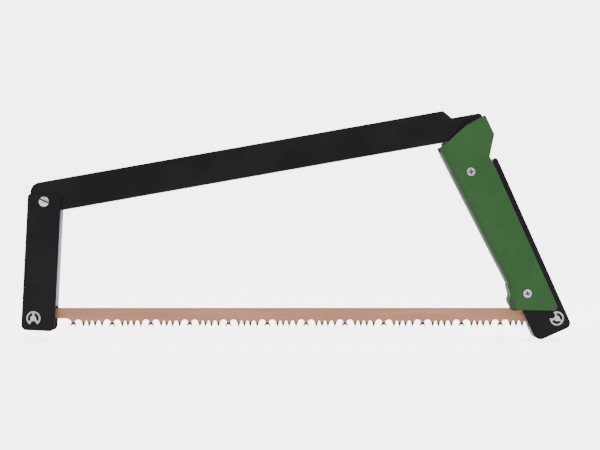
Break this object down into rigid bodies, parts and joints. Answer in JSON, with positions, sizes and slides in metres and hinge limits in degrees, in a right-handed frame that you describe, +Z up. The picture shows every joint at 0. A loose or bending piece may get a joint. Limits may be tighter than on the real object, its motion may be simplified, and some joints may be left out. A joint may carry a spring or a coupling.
{
  "type": "bow saw",
  "caption": "Folding bow saw with a channel-section frame, a hinged front arm, a hinged two-sided grip, a blade-tensioning lever and a raker-toothed blade between clipped pins",
  "frame": {"origin": "centre of the bounding box of the open saw", "axes": "+X along the blade from the front pin to the rear pin, +Z up from the teeth to the top bar, +Y away from the viewer, through the thickness"},
  "size_m": [0.5593, 0.0316, 0.2327],
  "materials": {
    "top_bar": "satin black powder coat over bent sheet",
    "front_pivot_screw": "bright plated steel",
    "front_pivot_barrel": "bright plated steel",
    "front_pivot_washers": "natural nylon",
    "front_arm": "satin black powder coat over bent sheet",
    "front_blade_pin": "bright plated steel",
    "front_pin_clips": "bright plated steel",
    "front_blade_bushes": "black nylon",
    "saw_blade": "copper-toned lacquered steel, hardened tooth tips",
    "handle_frame": "satin black coat",
    "handle_pivot_pins": "bright plated steel",
    "handle_pivot_washers": "natural nylon",
    "handle_stop_pads": "black nylon",
    "lever_pivot_pins": "bright plated steel",
    "grip_near": "moulded green plastic, fine texture",
    "grip_far": "moulded green plastic, fine texture",
    "grip_screws": "bright plated steel",
    "grip_nuts": "bright plated steel",
    "tension_lever": "satin black powder coat over bent sheet",
    "rear_blade_pins": "bright plated steel",
    "rear_pin_clips": "bright plated steel",
    "rear_blade_bushes": "black nylon"
  },
  "bodies": {
    "top_bar": {"top_bar": "top_bar", "front_pivot_screw": "front_pivot_screw", "front_pivot_barrel": "front_pivot_barrel", "front_pivot_washers": "front_pivot_washers"},
    "front_arm": {"front_arm": "front_arm", "front_blade_pin": "front_blade_pin", "front_pin_clips": "front_pin_clips", "front_blade_bushes": "front_blade_bushes"},
    "blade": {"saw_blade": "saw_blade"},
    "handle": {"handle_frame": "handle_frame", "handle_pivot_pins": "handle_pivot_pins", "handle_pivot_washers": "handle_pivot_washers", "handle_stop_pads": "handle_stop_pads", "lever_pivot_pins": "lever_pivot_pins", "grip_near": "grip_near", "grip_far": "grip_far", "grip_screws": "grip_screws", "grip_nuts": "grip_nuts"},
    "lever": {"tension_lever": "tension_lever", "rear_blade_pins": "rear_blade_pins", "rear_pin_clips": "rear_pin_clips", "rear_blade_bushes": "rear_blade_bushes"}
  },
  "joints": [
    {"name": "handle_fold", "type": "hinge", "parent": "top_bar", "child": "handle", "pos_m": [0.17975, 0, 0.09794], "axis": [0, -1, 0], "range_deg": [0, 66]},
    {"name": "front_arm_fold", "type": "hinge", "parent": "top_bar", "child": "front_arm", "pos_m": [-0.25649, 0, 0.02383], "axis": [0, -1, 0], "range_deg": [0, 97.2]},
    {"name": "blade_swing", "type": "hinge", "parent": "front_arm", "child": "blade", "pos_m": [-0.2671, 0, -0.095], "axis": [0, 1, 0], "range_deg": [0, 89.6]},
    {"name": "lever_open", "type": "hinge", "parent": "handle", "child": "lever", "pos_m": [0.25438, 0, -0.07901], "axis": [0, 1, 0], "range_deg": [0, 20]}
  ],
  "couplings": [
    {"joint": "front_arm_fold", "follows": "handle_fold", "ratio": 1.4684},
    {"joint": "blade_swing", "follows": "handle_fold", "ratio": 1.3531}
  ]
}
